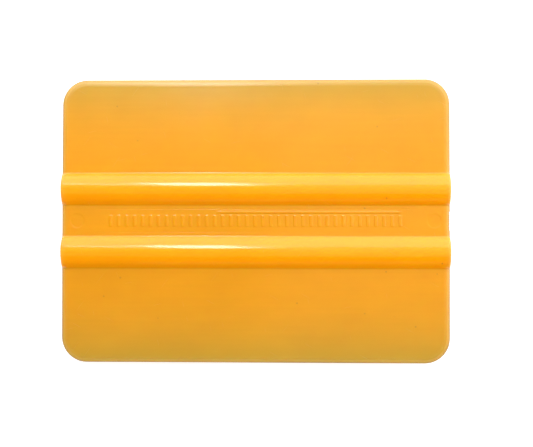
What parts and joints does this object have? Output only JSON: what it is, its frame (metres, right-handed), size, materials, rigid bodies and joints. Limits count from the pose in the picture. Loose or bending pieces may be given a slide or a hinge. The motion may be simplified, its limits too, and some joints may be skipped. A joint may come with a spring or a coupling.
{
  "type": "squeegee applicator",
  "caption": "Flat hand squeegee card in flexible plastic, with rounded corners, thin working edges and finger ribs, for pressing vinyl film flat.",
  "frame": {"origin": "centre of the blade's outline, on the surface that the back ribs' crests rest on", "axes": "+X along the finger ribs towards the end with the trimmed gate, +Y across the ribs towards one working edge, +Z out of the front face, which carries the raised marking row"},
  "size_m": [0.1016, 0.0742, 0.006],
  "materials": {
    "moulded_plastic": "satin, slightly translucent"
  },
  "bodies": {
    "root": {"squeegee_blade": "moulded_plastic"}
  },
  "joints": []
}
